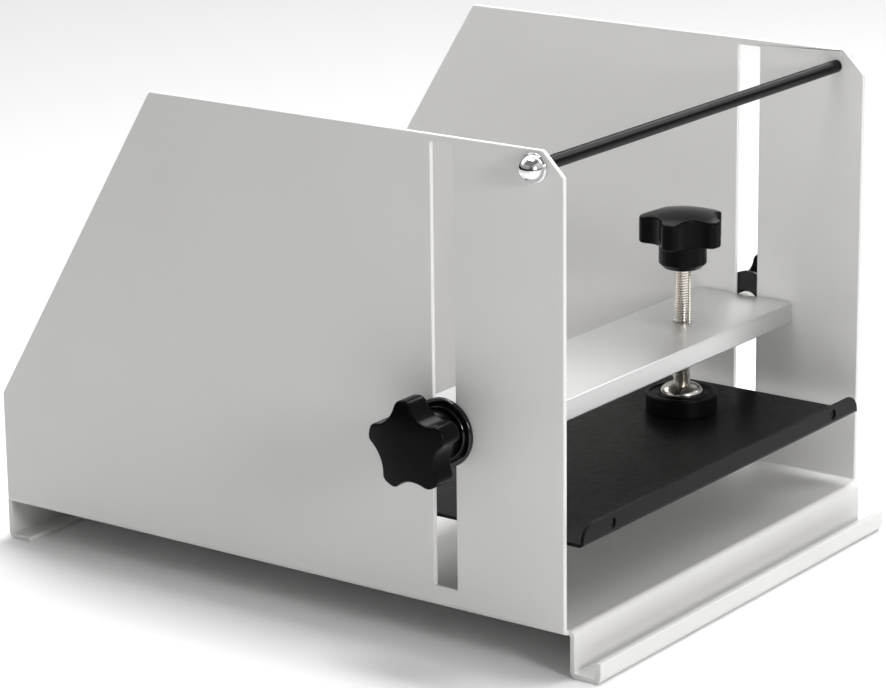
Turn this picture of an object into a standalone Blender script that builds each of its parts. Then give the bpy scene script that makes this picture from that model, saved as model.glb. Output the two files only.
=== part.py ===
"""Bookbinding press: a folded sheet stand, a clamp bar in two slots, two press screws and a press plate.

Metres, +Z up. The open front faces -Y and the underside of the tray and foot is z = 0.
"""
import math

import bmesh
import bpy

MM = 0.001

# Folded stand
SHEET = 3.0 * MM
BEND_OUTER = 4.0 * MM
BODY_WIDTH = 310.0 * MM
SIDE_DEPTH = 396.0 * MM
SIDE_HEIGHT = 261.0 * MM
TOP_EDGE = 275.5 * MM
REAR_HEIGHT = 67.5 * MM
FRONT_CHAMFER = 13.0 * MM
CHAMFER_ROUND = 3.0 * MM
TRAY_DROP = 24.0 * MM
TRAY_REACH = 20.5 * MM
TRAY_LIP = 12.0 * MM
FOOT_REACH = 16.0 * MM
TONGUE = 14.0 * MM

# Side slots
SLOT_WIDTH = 15.0 * MM
SLOT_FROM_FRONT = 76.5 * MM
SLOT_ABOVE_BASE = 12.0 * MM
SLOT_TOP_MARGIN = 4.0 * MM

# Tie rod
ROD_DIAMETER = 7.5 * MM
ROD_FROM_FRONT = 17.5 * MM
ROD_BELOW_TOP = 9.5 * MM
ROD_BORE_DEPTH = 16.0 * MM
ROD_SCREW_DIAMETER = 5.0 * MM
ROD_HEAD_DIAMETER = 16.0 * MM
ROD_HEAD_RIM = 1.6 * MM
ROD_HEAD_HEIGHT = 10.5 * MM
ROD_HEAD_STEP = 0.5 * MM

# Clamp bar
BAR_WIDTH = 66.0 * MM
BAR_THICKNESS = 12.0 * MM
BAR_END_GAP = 1.5 * MM
BAR_EDGE = 0.8 * MM
BAR_HEIGHT = 100.0 * MM

# Threads and fits
THREAD_DIAMETER = 10.0 * MM
STUD_DIAMETER = 8.0 * MM
FIT = 0.3 * MM

# Star knobs
KNOB_DIAMETER = 52.0 * MM
KNOB_VALLEY_DIAMETER = 37.0 * MM
KNOB_FLUTE_RADIUS = 13.0 * MM
KNOB_LOBES = 5
KNOB_HEIGHT = 34.0 * MM
KNOB_HUB_DIAMETER = 28.0 * MM
KNOB_HUB_HEIGHT = 15.0 * MM
KNOB_HUB_CHAMFER = 3.0 * MM
KNOB_CROWN = 3.5 * MM
KNOB_EDGE = 1.5 * MM
FLUTE_DROP = 4.0 * MM
INSERT_DIAMETER = 16.0 * MM
INSERT_LENGTH = 14.0 * MM

# Bar clamps
WASHER_DIAMETER = 38.5 * MM
WASHER_THICKNESS = 3.0 * MM
STUD_IN_BAR = 22.0 * MM
STUD_IN_KNOB = 15.0 * MM
WASHER_EDGE = 0.8 * MM

# Press screws and their feet
SCREW_SPACING = 162.0 * MM
SCREW_ABOVE_BAR = 32.5 * MM
CUP_DIAMETER = 42.0 * MM
CUP_HEIGHT = 11.0 * MM
CUP_FLOOR = 4.0 * MM
CUP_EDGE = 1.2 * MM
BALL_DIAMETER = 25.0 * MM
DOME_HEIGHT = 6.0 * MM
THREAD_CHAMFER = 1.0 * MM

# Press plate
PLATE_LEFT_GAP = 1.0 * MM
PLATE_RIGHT_GAP = 15.0 * MM
PLATE_DEPTH = 160.0 * MM
PLATE_SHEET = 2.0 * MM
PLATE_BEND = 3.0 * MM
PLATE_LIP = 12.0 * MM
PLATE_LIP_ROUND = 10.0 * MM
PLATE_OVERHANG = 9.5 * MM
PLATE_ABOVE_BASE = 50.0 * MM
PLATE_HOLE_DIAMETER = 6.0 * MM
PLATE_HOLE_INSET = 28.0 * MM
PLATE_HOLE_HEIGHT = 6.3 * MM
PLATE_TRIM = 5.0 * MM

# Places worked out from the sizes
BASE_Z = TRAY_DROP
TOP_Z = BASE_Z + SIDE_HEIGHT
FRONT_Y = -(SIDE_DEPTH + BEND_OUTER - TRAY_REACH) / 2
REAR_Y = FRONT_Y + SIDE_DEPTH
OUTER_X = BODY_WIDTH / 2
INNER_X = OUTER_X - SHEET
SLOT_Y = FRONT_Y + SLOT_FROM_FRONT
BAR_Z = BASE_Z + BAR_HEIGHT
BAR_HALF = INNER_X - BAR_END_GAP
BAR_TOP_Z = BAR_Z + BAR_THICKNESS / 2
PLATE_Z = BASE_Z + PLATE_ABOVE_BASE
PLATE_LEFT = PLATE_LEFT_GAP - INNER_X
PLATE_RIGHT = INNER_X - PLATE_RIGHT_GAP
CUP_Z = PLATE_Z + PLATE_SHEET + FIT
PRESS_KNOB_Z = BAR_TOP_Z + SCREW_ABOVE_BAR
ROD_Y = FRONT_Y + ROD_FROM_FRONT
ROD_Z = TOP_Z - ROD_BELOW_TOP
THREAD_RADIUS = THREAD_DIAMETER / 2
BORE_RADIUS = THREAD_RADIUS + FIT
STUD_RADIUS = STUD_DIAMETER / 2
STUD_BORE_RADIUS = STUD_RADIUS + FIT
REACH_ALL = 2 * (BODY_WIDTH + SIDE_DEPTH)
ROUND_STEPS = 40


def clear_scene():
    for obj in list(bpy.data.objects):
        bpy.data.objects.remove(obj, do_unlink=True)


def make_collection(name):
    collection = bpy.data.collections.new(name)
    bpy.context.scene.collection.children.link(collection)
    return collection


def make_material(name, colour, roughness, metallic=0.0):
    material = bpy.data.materials.new(name)
    material.use_nodes = True
    shader = material.node_tree.nodes["Principled BSDF"]
    shader.inputs["Base Color"].default_value = (*colour, 1.0)
    shader.inputs["Roughness"].default_value = roughness
    shader.inputs["Metallic"].default_value = metallic
    material.diffuse_color = (*colour, 1.0)
    return material


def put(obj, collection):
    for old in list(obj.users_collection):
        old.objects.unlink(obj)
    collection.objects.link(obj)
    return obj


def finish(obj, name, material):
    """Name a finished solid, give it its material and smooth its round faces."""
    obj.name = name
    obj.data.name = name
    obj.data.materials.clear()
    obj.data.materials.append(material)
    put(obj, parts)
    obj.data.shade_smooth()
    obj.data.set_sharp_from_angle(angle=math.radians(30))
    return obj


def realise(obj):
    """Replace a curve or modified object with its plain, welded mesh."""
    depsgraph = bpy.context.evaluated_depsgraph_get()
    mesh = bpy.data.meshes.new_from_object(obj.evaluated_get(depsgraph))
    matrix = obj.matrix_world.copy()
    bpy.data.objects.remove(obj, do_unlink=True)
    body = bmesh.new()
    body.from_mesh(mesh)
    bmesh.ops.remove_doubles(body, verts=body.verts, dist=0.000005)
    bmesh.ops.recalc_face_normals(body, faces=body.faces)
    body.to_mesh(mesh)
    body.free()
    solid = bpy.data.objects.new("solid", mesh)
    parts.objects.link(solid)
    solid.matrix_world = matrix
    bpy.context.view_layer.update()
    return solid


def apply_place(obj):
    """Move an object's place into its mesh, so that its origin is the world's.

    Rounding to a tenth of a micron keeps faces that share a plane exactly on it.
    """
    bpy.context.view_layer.update()
    obj.data.transform(obj.matrix_world)
    for vertex in obj.data.vertices:
        vertex.co = [round(value, 7) for value in vertex.co]
    obj.matrix_world.identity()
    bpy.context.view_layer.update()
    return obj


def set_origin(obj, point):
    """Put the origin of an unrotated object at a world point, leaving its shape where it is."""
    shift = [target - now for target, now in zip(point, obj.location)]
    for vertex in obj.data.vertices:
        vertex.co = [value - move for value, move in zip(vertex.co, shift)]
    obj.location = point
    return obj


def box(size, centre):
    bpy.ops.mesh.primitive_cube_add(size=1.0, location=centre)
    obj = bpy.context.object
    obj.scale = size
    return apply_place(put(obj, parts))


def cylinder(radius, length, centre, axis, steps=ROUND_STEPS):
    turn = {"X": (0.0, math.pi / 2, 0.0), "Y": (math.pi / 2, 0.0, 0.0), "Z": (0.0, 0.0, 0.0)}[axis]
    bpy.ops.mesh.primitive_cylinder_add(
        vertices=steps, radius=radius, depth=length, location=centre, rotation=turn)
    return apply_place(put(bpy.context.object, parts))


def cut(target, tool, operation="DIFFERENCE"):
    """Apply one exact Boolean and put the tool away with the cutters."""
    modifier = target.modifiers.new("cut", "BOOLEAN")
    modifier.operation = operation
    modifier.solver = "EXACT"
    modifier.object = tool
    result = realise(target)
    put(tool, cutters)
    tool.hide_render = True
    tool.display_type = "WIRE"
    return result


def arc(centre, radius, start, end, steps):
    """Points of an arc, both ends included; angles in degrees."""
    points = []
    for step in range(steps + 1):
        angle = math.radians(start + (end - start) * step / steps)
        points.append((centre[0] + radius * math.cos(angle), centre[1] + radius * math.sin(angle)))
    return points


def round_corners(corners, closed=True, steps=5):
    """Turn (u, v, radius) corners into points, each rounded corner as an arc."""
    points = []
    count = len(corners)
    for index, (u, v, radius) in enumerate(corners):
        is_end = not closed and index in (0, count - 1)
        if radius == 0 or is_end:
            points.append((u, v))
            continue
        before = corners[index - 1]
        after = corners[(index + 1) % count]
        in_angle = math.atan2(before[1] - v, before[0] - u)
        out_angle = math.atan2(after[1] - v, after[0] - u)
        half = abs(math.remainder(out_angle - in_angle, 2 * math.pi)) / 2
        middle = math.atan2(math.sin(in_angle) + math.sin(out_angle),
                            math.cos(in_angle) + math.cos(out_angle))
        reach = radius / math.sin(half)
        centre = (u + reach * math.cos(middle), v + reach * math.sin(middle))
        run = radius / math.tan(half)
        start = math.atan2(v + run * math.sin(in_angle) - centre[1],
                           u + run * math.cos(in_angle) - centre[0])
        end = math.atan2(v + run * math.sin(out_angle) - centre[1],
                         u + run * math.cos(out_angle) - centre[0])
        sweep = math.remainder(end - start, 2 * math.pi)
        points += arc(centre, radius, math.degrees(start), math.degrees(start + sweep), steps)
    return points


def strip_outline(corners, thickness, bend_outer):
    """Closed outline of a folded sheet from the sharp corners of its middle line."""
    middle = round_corners([(u, v, bend_outer - thickness / 2) for u, v in corners], closed=False)
    left, right = [], []
    for index, (u, v) in enumerate(middle):
        u0, v0 = middle[max(index - 1, 0)]
        u1, v1 = middle[min(index + 1, len(middle) - 1)]
        length = math.hypot(u1 - u0, v1 - v0)
        du, dv = (u1 - u0) / length, (v1 - v0) / length
        near = (math.hypot(u - u0, v - v0), math.hypot(u1 - u, v1 - v))
        if min(near) > 0 and max(near) > 2 * min(near):
            # At a bend's tangent point the sheet runs along its longer, straight side.
            longer = (u - u0, v - v0) if near[0] > near[1] else (u1 - u, v1 - v)
            du, dv = (value / max(near) for value in longer)
        left.append((u - dv * thickness / 2, v + du * thickness / 2))
        right.append((u + dv * thickness / 2, v - du * thickness / 2))
    return left + right[::-1]


def prism(outline, length, centre, axis):
    """Extrude a closed outline along X (outline in Y, Z), Y (in X, Z) or Z (in X, Y)."""
    curve = bpy.data.curves.new("outline", "CURVE")
    curve.dimensions = "2D"
    curve.fill_mode = "BOTH"
    curve.extrude = length / 2
    spline = curve.splines.new("POLY")
    spline.points.add(len(outline) - 1)
    for point, (u, v) in zip(spline.points, outline):
        point.co = (u, v, 0.0, 1.0)
    spline.use_cyclic_u = True
    obj = bpy.data.objects.new("prism", curve)
    parts.objects.link(obj)
    obj.rotation_euler = {"X": (math.pi / 2, 0.0, math.pi / 2), "Y": (math.pi / 2, 0.0, 0.0),
                          "Z": (0.0, 0.0, 0.0)}[axis]
    obj.location = {"X": (centre, 0.0, 0.0), "Y": (0.0, centre, 0.0), "Z": (0.0, 0.0, centre)}[axis]
    bpy.context.view_layer.update()
    return apply_place(realise(obj))


def turned(profile, steps=ROUND_STEPS):
    """Turn a (radius, height) profile, listed from top to bottom, about Z."""
    mesh = bpy.data.meshes.new("profile")
    edges = [(index, index + 1) for index in range(len(profile) - 1)]
    if profile[0][0] > 0:
        edges.append((len(profile) - 1, 0))
    mesh.from_pydata([(radius, 0.0, height) for radius, height in profile], edges, [])
    obj = bpy.data.objects.new("turned", mesh)
    parts.objects.link(obj)
    screw = obj.modifiers.new("turn", "SCREW")
    screw.steps = steps
    screw.render_steps = steps
    screw.use_merge_vertices = True
    screw.merge_threshold = 0.00001
    return realise(obj)


def dome_profile(radius, rim_z, top_z, steps=6):
    """Points of a domed top, from its crown on the axis down to its rim."""
    points = []
    for step in range(steps + 1):
        angle = math.radians(90 * step / steps)
        points.append((radius * math.sin(angle), rim_z + (top_z - rim_z) * math.cos(angle)))
    return points


def crown_profile(radius, rim_z, top_z, steps=5):
    """Points of a shallow crown, from its top on the axis out to its edge."""
    points = []
    for step in range(steps + 1):
        share = step / steps
        points.append((radius * share, rim_z + (top_z - rim_z) * (1 - share * share)))
    return points


def lay_along_x(obj, side, start):
    """Lay a turned solid, its height outwards along X, on the slot's axis."""
    obj.rotation_euler = (0.0, side * math.pi / 2, 0.0)
    obj.location = (side * start, SLOT_Y, BAR_Z)
    apply_place(obj)
    return set_origin(obj, (side * start, SLOT_Y, BAR_Z))


def build_folded_body(paint):
    """Base, both slotted sides, front tray and rear foot, folded from one sheet."""
    half = SHEET / 2
    side_x = OUTER_X - half
    channel = prism(
        strip_outline([(-side_x, TOP_Z), (-side_x, BASE_Z + half), (side_x, BASE_Z + half),
                       (side_x, TOP_Z)], SHEET, BEND_OUTER),
        SIDE_DEPTH + 2 * TONGUE, (FRONT_Y + REAR_Y) / 2, "Y")
    side_outline = round_corners([
        (FRONT_Y, 0.0, 0.0),
        (FRONT_Y, TOP_Z - FRONT_CHAMFER, CHAMFER_ROUND),
        (FRONT_Y + FRONT_CHAMFER, TOP_Z, CHAMFER_ROUND),
        (FRONT_Y + TOP_EDGE, TOP_Z, CHAMFER_ROUND),
        (REAR_Y, BASE_Z + REAR_HEIGHT, CHAMFER_ROUND),
        (REAR_Y, 0.0, 0.0)])
    body = cut(channel, prism(side_outline, 2 * BODY_WIDTH, 0.0, "X"), "INTERSECT")

    strip_width = BODY_WIDTH - 2 * BEND_OUTER
    tray_web = FRONT_Y - BEND_OUTER + half
    tray = prism(
        strip_outline([(FRONT_Y + TONGUE, BASE_Z + half), (tray_web, BASE_Z + half),
                       (tray_web, half), (FRONT_Y - TRAY_REACH + half, half),
                       (FRONT_Y - TRAY_REACH + half, TRAY_LIP)], SHEET, BEND_OUTER),
        strip_width, 0.0, "X")
    foot_web = REAR_Y + BEND_OUTER - half
    foot = prism(
        strip_outline([(REAR_Y - TONGUE, BASE_Z + half), (foot_web, BASE_Z + half),
                       (foot_web, half), (REAR_Y + BEND_OUTER - FOOT_REACH, half)],
                      SHEET, BEND_OUTER),
        strip_width, 0.0, "X")
    body = cut(body, tray, "UNION")
    body = cut(body, foot, "UNION")

    slot_low = BASE_Z + SLOT_ABOVE_BASE
    slot_high = TOP_Z - SLOT_TOP_MARGIN
    slots = box((2 * BODY_WIDTH, SLOT_WIDTH, slot_high - slot_low),
                (0.0, SLOT_Y, (slot_low + slot_high) / 2))
    body = cut(body, slots)
    rod_holes = cylinder(ROD_SCREW_DIAMETER / 2 + FIT, 2 * BODY_WIDTH, (0.0, ROD_Y, ROD_Z), "X", 20)
    body = cut(body, rod_holes)
    return finish(body, "folded_body", paint)


def build_tie_rod(paint):
    """Round bar between the sides, bored at both ends for its screws."""
    length = 2 * (INNER_X - FIT)
    rod = cylinder(ROD_DIAMETER / 2, length, (0.0, ROD_Y, ROD_Z), "X", 24)
    for side in (-1, 1):
        bore = cylinder(ROD_SCREW_DIAMETER / 2 + FIT, 2 * ROD_BORE_DEPTH,
                        (side * length / 2, ROD_Y, ROD_Z), "X", 20)
        rod = cut(rod, bore)
    return finish(set_origin(rod, (0.0, ROD_Y, ROD_Z)), "tie_rod", paint)


def build_rod_screw(name, side, chrome):
    """Domed screw through a side sheet into the end of the tie rod."""
    head = ROD_HEAD_DIAMETER / 2
    shank = ROD_SCREW_DIAMETER / 2
    shank_end = -(SHEET + ROD_BORE_DEPTH)
    profile = dome_profile(head - ROD_HEAD_STEP, ROD_HEAD_RIM, ROD_HEAD_HEIGHT)
    profile += [(head, ROD_HEAD_RIM), (head, 0.0), (shank, 0.0), (shank, shank_end),
                (0.0, shank_end)]
    screw = turned(profile, 28)
    screw.rotation_euler = (0.0, side * math.pi / 2, 0.0)
    place = (side * (OUTER_X + FIT), ROD_Y, ROD_Z)
    screw.location = place
    return finish(set_origin(apply_place(screw), place), name, chrome)


def build_clamp_bar(aluminium):
    """Flat bar across the stand, drilled for the press screws and for the clamp studs."""
    centre = (0.0, SLOT_Y, BAR_Z)
    bar = box((2 * BAR_HALF, BAR_WIDTH, BAR_THICKNESS), centre)
    bevel = bar.modifiers.new("edges", "BEVEL")
    bevel.width = BAR_EDGE
    bevel.segments = 2
    bar = realise(bar)
    for side in (-1, 1):
        screw_hole = cylinder(BORE_RADIUS, 2 * BAR_THICKNESS,
                              (side * SCREW_SPACING / 2, SLOT_Y, BAR_Z), "Z", 28)
        bar = cut(bar, screw_hole)
        stud_hole = cylinder(STUD_BORE_RADIUS, 2 * (STUD_IN_BAR + 2 * FIT),
                             (side * BAR_HALF, SLOT_Y, BAR_Z), "X", 28)
        bar = cut(bar, stud_hole)
    return finish(set_origin(bar, centre), "clamp_bar", aluminium)


def build_guide_bush(name, side, plastic):
    """Bush on a clamp stud that runs in the side slot."""
    start = BAR_HALF + FIT
    length = OUTER_X - FIT - start
    outer = SLOT_WIDTH / 2 - FIT
    bush = turned([(STUD_BORE_RADIUS, length), (outer, length), (outer, 0.0),
                   (STUD_BORE_RADIUS, 0.0)], 32)
    return finish(lay_along_x(bush, side, start), name, plastic)


def build_washer(name, side, black):
    """Wide clamp washer on the outside of a slot."""
    outer = WASHER_DIAMETER / 2
    washer = turned([(STUD_BORE_RADIUS, WASHER_THICKNESS), (outer - WASHER_EDGE, WASHER_THICKNESS),
                     (outer, WASHER_THICKNESS - WASHER_EDGE), (outer, 0.0),
                     (STUD_BORE_RADIUS, 0.0)])
    return finish(lay_along_x(washer, side, OUTER_X + FIT), name, black)


def star_blank(bore_radius, bore_depth):
    """Turned knob with a blind bore from below, before its flutes are cut; hub end at z = 0."""
    outer = KNOB_DIAMETER / 2
    hub = KNOB_HUB_DIAMETER / 2
    edge = KNOB_EDGE
    rim_top = KNOB_HEIGHT - KNOB_CROWN
    profile = crown_profile(outer - edge, rim_top, KNOB_HEIGHT)
    profile += [(outer, rim_top - edge), (outer, KNOB_HUB_HEIGHT + edge),
                (outer - edge, KNOB_HUB_HEIGHT), (hub, KNOB_HUB_HEIGHT), (hub, KNOB_HUB_CHAMFER),
                (hub - KNOB_HUB_CHAMFER, 0.0), (bore_radius, 0.0), (bore_radius, bore_depth),
                (0.0, bore_depth)]
    return turned(profile)


def build_star_knob(bore_radius, bore_depth, turn):
    """Star knob: the turned blank with one flute between each pair of lobes."""
    knob = star_blank(bore_radius, bore_depth)
    distance = KNOB_VALLEY_DIAMETER / 2 + KNOB_FLUTE_RADIUS
    low = KNOB_HUB_HEIGHT - FLUTE_DROP
    for lobe in range(KNOB_LOBES):
        angle = math.radians(turn) + 2 * math.pi * (lobe + 0.5) / KNOB_LOBES
        flute = cylinder(KNOB_FLUTE_RADIUS, KNOB_HEIGHT,
                         (distance * math.cos(angle), distance * math.sin(angle),
                          low + KNOB_HEIGHT / 2), "Z", 44)
        knob = cut(knob, flute)
    return knob


def build_clamp_knob(name, side, turn, plastic):
    """Side star knob, its axis on the stud."""
    start = OUTER_X + WASHER_THICKNESS + 2 * FIT
    knob = build_star_knob(STUD_BORE_RADIUS, STUD_IN_KNOB + FIT, turn)
    return finish(lay_along_x(knob, side, start), name, plastic)


def build_clamp_stud(name, side, steel):
    """Threaded stud, held in its knob and screwed into the end of the bar."""
    knob_start = OUTER_X + WASHER_THICKNESS + 2 * FIT
    start = BAR_HALF - STUD_IN_BAR
    length = knob_start + STUD_IN_KNOB - start
    tip = STUD_RADIUS - THREAD_CHAMFER
    stud = turned([(0.0, length), (tip, length), (STUD_RADIUS, length - THREAD_CHAMFER),
                   (STUD_RADIUS, THREAD_CHAMFER), (tip, 0.0), (0.0, 0.0)], 28)
    return finish(lay_along_x(stud, side, start), name, steel)


def build_press_screw(name, x, steel):
    """Threaded spindle with a domed end that sits in the foot cup."""
    ball = BALL_DIAMETER / 2
    rim_z = CUP_HEIGHT
    floor_z = CUP_FLOOR + FIT
    top = PRESS_KNOB_Z - CUP_Z + INSERT_LENGTH - FIT
    profile = [(0.0, top), (THREAD_RADIUS - THREAD_CHAMFER, top),
               (THREAD_RADIUS, top - THREAD_CHAMFER)]
    shoulder = math.asin(THREAD_RADIUS / ball)
    for step in range(6):
        angle = shoulder + (math.pi / 2 - shoulder) * step / 5
        profile.append((ball * math.sin(angle), rim_z + DOME_HEIGHT * math.cos(angle)))
    depth = rim_z - floor_z
    profile += [(0.94 * ball, rim_z - 0.45 * depth), (0.72 * ball, rim_z - 0.85 * depth),
                (0.45 * ball, floor_z), (0.0, floor_z)]
    screw = turned(profile, 32)
    screw.location = (x, SLOT_Y, CUP_Z)
    return finish(screw, name, steel)


def build_foot_cup(name, x, plastic):
    """Round foot with an open socket for the screw's domed end."""
    outer = CUP_DIAMETER / 2
    socket = BALL_DIAMETER / 2 + FIT
    cup = turned([(0.0, CUP_FLOOR), (socket, CUP_FLOOR), (socket, CUP_HEIGHT),
                  (outer - CUP_EDGE, CUP_HEIGHT), (outer, CUP_HEIGHT - CUP_EDGE), (outer, 0.0),
                  (0.0, 0.0)])
    cup.location = (x, SLOT_Y, CUP_Z)
    return finish(cup, name, plastic)


def build_knob_insert(name, x, brass):
    """Threaded bush moulded into a press knob."""
    outer = INSERT_DIAMETER / 2
    insert = turned([(BORE_RADIUS, INSERT_LENGTH), (outer, INSERT_LENGTH), (outer, 0.0),
                     (BORE_RADIUS, 0.0)], 28)
    insert.location = (x, SLOT_Y, PRESS_KNOB_Z)
    return finish(insert, name, brass)


def build_press_knob(name, x, turn, plastic):
    """Star knob on top of a press screw."""
    knob = build_star_knob(INSERT_DIAMETER / 2 + FIT, INSERT_LENGTH + FIT, turn)
    knob.location = (x, SLOT_Y, PRESS_KNOB_Z)
    return finish(knob, name, plastic)


def build_press_plate(paint):
    """Flat plate under the feet, its front edge folded up, with rounded ends and two holes."""
    half = PLATE_SHEET / 2
    middle = (PLATE_LEFT + PLATE_RIGHT) / 2
    front = FRONT_Y - PLATE_OVERHANG
    plate = prism(
        strip_outline([(front + PLATE_DEPTH, PLATE_Z + half), (front + half, PLATE_Z + half),
                       (front + half, PLATE_Z + PLATE_LIP)], PLATE_SHEET, PLATE_BEND),
        PLATE_RIGHT - PLATE_LEFT, middle, "X")
    lip_top = PLATE_Z + PLATE_LIP
    low = PLATE_Z - PLATE_TRIM
    face = round_corners([(PLATE_LEFT, low, 0.0), (PLATE_RIGHT, low, 0.0),
                          (PLATE_RIGHT, lip_top, PLATE_LIP_ROUND),
                          (PLATE_LEFT, lip_top, PLATE_LIP_ROUND)])
    plate = cut(plate, prism(face, REACH_ALL, 0.0, "Y"), "INTERSECT")
    for x in (PLATE_LEFT + PLATE_HOLE_INSET, PLATE_RIGHT - PLATE_HOLE_INSET):
        hole = cylinder(PLATE_HOLE_DIAMETER / 2, 4 * PLATE_SHEET,
                        (x, front + half, PLATE_Z + PLATE_HOLE_HEIGHT), "Y", 20)
        plate = cut(plate, hole)
    return finish(set_origin(plate, (middle, SLOT_Y, PLATE_Z)), "press_plate", paint)


def build():
    grey_paint = make_material("grey_paint", (0.60, 0.60, 0.58), 0.55)
    black_paint = make_material("black_paint", (0.012, 0.012, 0.013), 0.32)
    aluminium = make_material("satin_aluminium", (0.62, 0.62, 0.62), 0.38, 1.0)
    black_plastic = make_material("black_plastic", (0.010, 0.010, 0.011), 0.28)
    guide_plastic = make_material("guide_plastic", (0.05, 0.05, 0.05), 0.5)
    steel = make_material("bright_steel", (0.62, 0.59, 0.55), 0.22, 1.0)
    chrome = make_material("chrome", (0.80, 0.80, 0.80), 0.08, 1.0)
    brass = make_material("brass", (0.71, 0.55, 0.26), 0.3, 1.0)

    build_folded_body(grey_paint)
    build_tie_rod(black_paint)
    build_clamp_bar(aluminium)
    build_press_plate(black_paint)
    for word, side, clamp_turn, press_turn in (("left", -1, 6.5, 54.0), ("right", 1, 28.0, 49.0)):
        build_rod_screw(f"tie_rod_screw_{word}", side, chrome)
        build_guide_bush(f"guide_bush_{word}", side, guide_plastic)
        build_washer(f"clamp_washer_{word}", side, black_plastic)
        build_clamp_stud(f"clamp_stud_{word}", side, steel)
        build_clamp_knob(f"clamp_knob_{word}", side, clamp_turn, black_plastic)
        x = side * SCREW_SPACING / 2
        build_press_screw(f"press_screw_{word}", x, steel)
        build_foot_cup(f"foot_cup_{word}", x, black_plastic)
        build_knob_insert(f"knob_insert_{word}", x, brass)
        build_press_knob(f"press_knob_{word}", x, press_turn, black_plastic)


clear_scene()
parts = make_collection("bookbinding_press")
cutters = make_collection("cutters")
build()
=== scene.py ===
"""Looks for the bookbinding press: fine meshes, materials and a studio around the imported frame.

Metres, +Z up, the open front faces -Y. Places and overall sizes come from the frame's boxes.
"""

import math

import bmesh
import bpy
from mathutils import Matrix, Vector


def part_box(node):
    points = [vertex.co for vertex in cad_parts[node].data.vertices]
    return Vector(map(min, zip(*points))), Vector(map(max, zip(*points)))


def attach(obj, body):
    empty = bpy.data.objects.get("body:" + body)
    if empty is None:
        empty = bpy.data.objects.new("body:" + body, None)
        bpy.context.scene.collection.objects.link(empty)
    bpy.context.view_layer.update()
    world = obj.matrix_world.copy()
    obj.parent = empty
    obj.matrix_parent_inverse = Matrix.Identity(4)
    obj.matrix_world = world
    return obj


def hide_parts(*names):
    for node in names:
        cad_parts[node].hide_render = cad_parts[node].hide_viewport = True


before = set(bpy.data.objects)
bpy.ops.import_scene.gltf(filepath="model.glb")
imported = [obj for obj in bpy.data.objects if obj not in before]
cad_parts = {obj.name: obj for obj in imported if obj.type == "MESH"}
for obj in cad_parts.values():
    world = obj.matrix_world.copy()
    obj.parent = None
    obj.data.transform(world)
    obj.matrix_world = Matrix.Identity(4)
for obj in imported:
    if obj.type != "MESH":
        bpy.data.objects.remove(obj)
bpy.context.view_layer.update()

MM = 0.001
SIDES = (("left", -1), ("right", 1))

# Decimals kept in a prism's corners, and the radius below which a lathe's point is on its axis
DIGITS = 7
ON_AXIS = 1e-9

# Sheet metal, as in the frame
SHEET = 3.0 * MM
BEND_OUTER = 4.0 * MM
SIDE_HEIGHT = 261.0 * MM
FRONT_CHAMFER = 13.0 * MM
CHAMFER_ROUND = 3.0 * MM
TOP_EDGE = 275.5 * MM
REAR_HEIGHT = 67.5 * MM
TRAY_LIP = 12.0 * MM
TRAY_REACH = 20.5 * MM
FOOT_REACH = 16.0 * MM
TONGUE = 14.0 * MM
SLOT_WIDTH = 15.0 * MM
SLOT_ABOVE_BASE = 12.0 * MM
SLOT_TOP_MARGIN = 4.0 * MM
ROD_HOLE = 5.6 * MM
CUT_EDGE = 0.45 * MM

# Tie rod and the mushroom heads of its screws
ROD_BORE_DEPTH = 16.0 * MM
ROD_END_EDGE = 0.4 * MM
HEAD_RIM = 1.6 * MM
HEAD_STEP = 0.3 * MM
HEAD_INSET = 0.7 * MM
ROD_SHANK = 5.0 * MM
ROD_SHANK_POINT = 0.6 * MM

# Clamp bar
BAR_EDGE = 0.7 * MM
STUD_BORE_DEPTH = 22.6 * MM

# Press plate
PLATE_SHEET = 2.0 * MM
PLATE_BEND = 3.0 * MM
PLATE_LIP = 12.0 * MM
PLATE_LIP_ROUND = 10.0 * MM
PLATE_HOLE = 6.0 * MM
PLATE_HOLE_INSET = 28.0 * MM
PLATE_HOLE_HEIGHT = 6.3 * MM
PLATE_EDGE = 0.3 * MM

# Star knobs
KNOB_LOBES = 5
KNOB_OUTER = 25.4 * MM
KNOB_VALLEY = 18.3 * MM
KNOB_FLUTE = 14.0 * MM
KNOB_CORNER = 4.5 * MM
KNOB_EDGE = 1.5 * MM
KNOB_CROWN = 3.5 * MM
KNOB_HUB_HEIGHT = 15.0 * MM
KNOB_HUB = 14.0 * MM
KNOB_HUB_CHAMFER = 3.0 * MM
KNOB_FACE_RINGS = (0.03, 0.12, 0.25, 0.4, 0.55, 0.7, 0.82, 0.92)

# Threads: diameter, pitch; depth of a thread as a share of its pitch
PRESS_THREAD = (10.0 * MM, 1.5 * MM)
STUD_THREAD = (8.0 * MM, 1.25 * MM)
THREAD_DEPTH = 0.61
THREAD_EASE = 0.04
FIT = 0.3 * MM

# Domed foot of a spindle; its flat underside as a share of its radius
DOME_HEIGHT = 6.0 * MM
DOME_FLAT = 0.45

# Clamp washers: rim, groove beside it and how deep that is
WASHER_RIM = 2.8 * MM
WASHER_GROOVE = 1.8 * MM
WASHER_GROOVE_DEPTH = 0.9 * MM

# Foot cups: thickness of the two raised rings and depth of the recess between them
CUP_WALL = 1.5 * MM
CUP_RECESS = 1.0 * MM

# How far each star knob stands turned, in degrees
CLAMP_TURNS = {"left": 6.5, "right": 28.0}
PRESS_TURNS = {"left": 54.0, "right": 49.0}

# Studio
FLOOR_SIZE = 16.0
WORLD_COLOUR = (1.0, 1.0, 1.0)
WORLD_TOP = 0.2
WORLD_TOP_FADE = (0.3, 0.8)
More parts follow.
